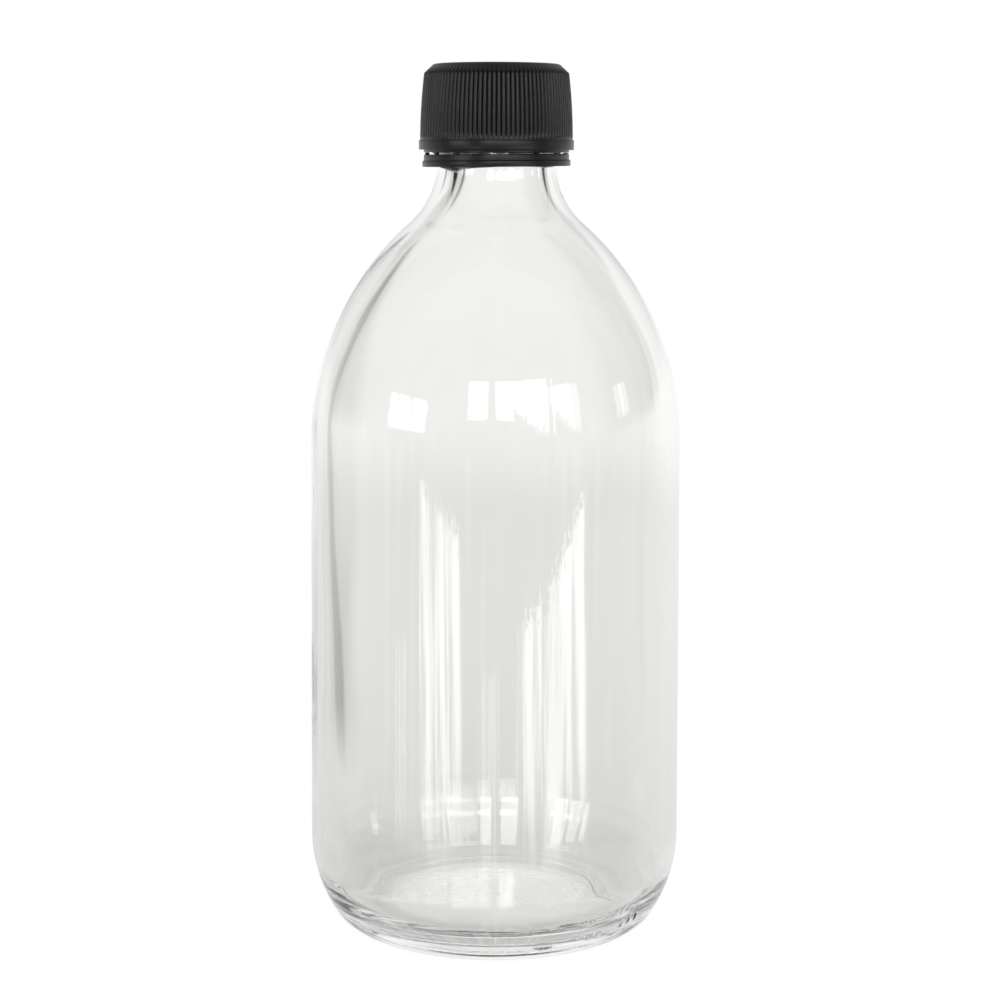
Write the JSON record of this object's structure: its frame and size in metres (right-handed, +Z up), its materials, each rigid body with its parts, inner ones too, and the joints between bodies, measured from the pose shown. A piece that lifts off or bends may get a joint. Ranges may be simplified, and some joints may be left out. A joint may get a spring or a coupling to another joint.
{
  "type": "glass bottle",
  "caption": "Round clear glass bottle with a domed shoulder and a narrow screw neck, closed by a ribbed black cap with a foam liner above a loose tamper band.",
  "frame": {"origin": "centre of the circle that the bottle stands on, on the floor plane", "axes": "+Z up along the bottle's axis, towards the cap; -Y faces the camera of the picture"},
  "size_m": [0.0754, 0.0754, 0.1754],
  "materials": {
    "clear_glass": "clear, smooth, with faint mould seams",
    "black_plastic": "satin moulded plastic",
    "white_foam": "matte foam"
  },
  "bodies": {
    "bottle": {"glass_bottle": "clear_glass"},
    "liner": {"cap_liner": "white_foam"},
    "cap": {"screw_cap": "black_plastic"},
    "band": {"tamper_band": "black_plastic"}
  },
  "joints": [
    {"name": "cap_lift", "type": "slide", "parent": "bottle", "child": "liner", "axis": [0, 0, 1], "range_m": [0, 0.0159]},
    {"name": "cap_turn", "type": "hinge", "parent": "liner", "child": "cap", "pos_m": [0, 0, 0.17], "axis": [0, 0, 1], "range_deg": [0, 1800]},
    {"name": "band_turn", "type": "hinge", "parent": "bottle", "child": "band", "pos_m": [0, 0, 0.156], "axis": [0, 0, 1], "continuous": true}
  ],
  "couplings": [
    {"joint": "cap_lift", "follows": "cap_turn", "m_per_rad": 0.00050532}
  ]
}
